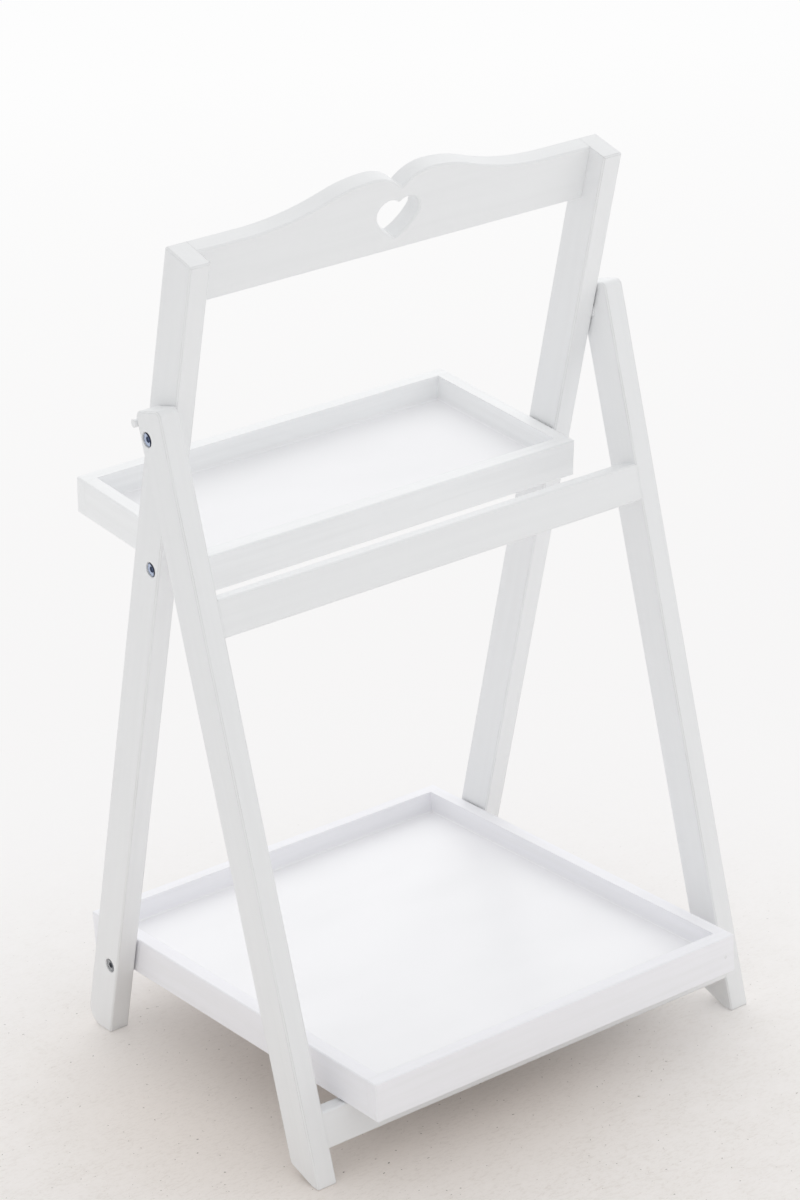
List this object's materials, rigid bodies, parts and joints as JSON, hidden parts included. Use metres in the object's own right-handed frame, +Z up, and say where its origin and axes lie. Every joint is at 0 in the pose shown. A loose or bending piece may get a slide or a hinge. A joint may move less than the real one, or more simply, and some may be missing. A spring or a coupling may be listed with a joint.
{
  "type": "folding step shelf",
  "caption": "Folding stepped shelf in white painted wood: open trays pivot between leaning stiles, front legs fold in, and the scalloped top rail has a heart cut-out.",
  "frame": {"origin": "on the floor under the middle of the lower tray, midway between the sides", "axes": "+X to the right seen from the front, -Y the front, +Z up"},
  "size_m": [0.4896, 0.448, 0.8231],
  "materials": {
    "white_paint": "satin white paint on solid pine",
    "panel_paint": "semi-gloss white paint on thin board",
    "bare_beech": "bare fluted beech dowel",
    "zinc_steel": "bright zinc plate"
  },
  "bodies": {
    "stile_frame": {"left_stile": "white_paint", "right_stile": "white_paint", "top_rail": "white_paint", "rail_dowels": "bare_beech", "stop_pins": "white_paint", "tray_rest_pins": "bare_beech", "hinge_bolts": "zinc_steel", "hinge_washers": "zinc_steel", "hinge_inserts": "zinc_steel"},
    "leg_frame": {"left_leg": "white_paint", "right_leg": "white_paint", "upper_crossbar": "white_paint", "lower_crossbar": "white_paint", "crossbar_dowels": "bare_beech"},
    "upper_tray": {"upper_tray_front_wall": "white_paint", "upper_tray_rear_wall": "white_paint", "upper_tray_left_wall": "white_paint", "upper_tray_right_wall": "white_paint", "upper_tray_panel": "panel_paint", "upper_tray_bolts": "zinc_steel", "upper_tray_washers": "zinc_steel", "upper_tray_inserts": "zinc_steel"},
    "lower_tray": {"lower_tray_front_wall": "white_paint", "lower_tray_rear_wall": "white_paint", "lower_tray_left_wall": "white_paint", "lower_tray_right_wall": "white_paint", "lower_tray_panel": "panel_paint", "lower_tray_bolts": "zinc_steel", "lower_tray_washers": "zinc_steel", "lower_tray_inserts": "zinc_steel"}
  },
  "joints": [
    {"name": "leg_fold", "type": "hinge", "parent": "stile_frame", "child": "leg_frame", "pos_m": [0, -0.0298, 0.63929], "axis": [1, 0, 0], "range_deg": [0, 24.5]},
    {"name": "upper_tray_swing", "type": "hinge", "parent": "stile_frame", "child": "upper_tray", "pos_m": [0, 0.0202, 0.50563], "axis": [1, 0, 0], "range_deg": [0, 101.35]},
    {"name": "lower_tray_swing", "type": "hinge", "parent": "stile_frame", "child": "lower_tray", "pos_m": [0, 0.1625, 0.07535], "axis": [1, 0, 0], "range_deg": [-71.75, 0]}
  ],
  "couplings": [
    {"joint": "upper_tray_swing", "follows": "leg_fold", "ratio": 4.1347},
    {"joint": "lower_tray_swing", "follows": "leg_fold", "ratio": -2.9265}
  ]
}
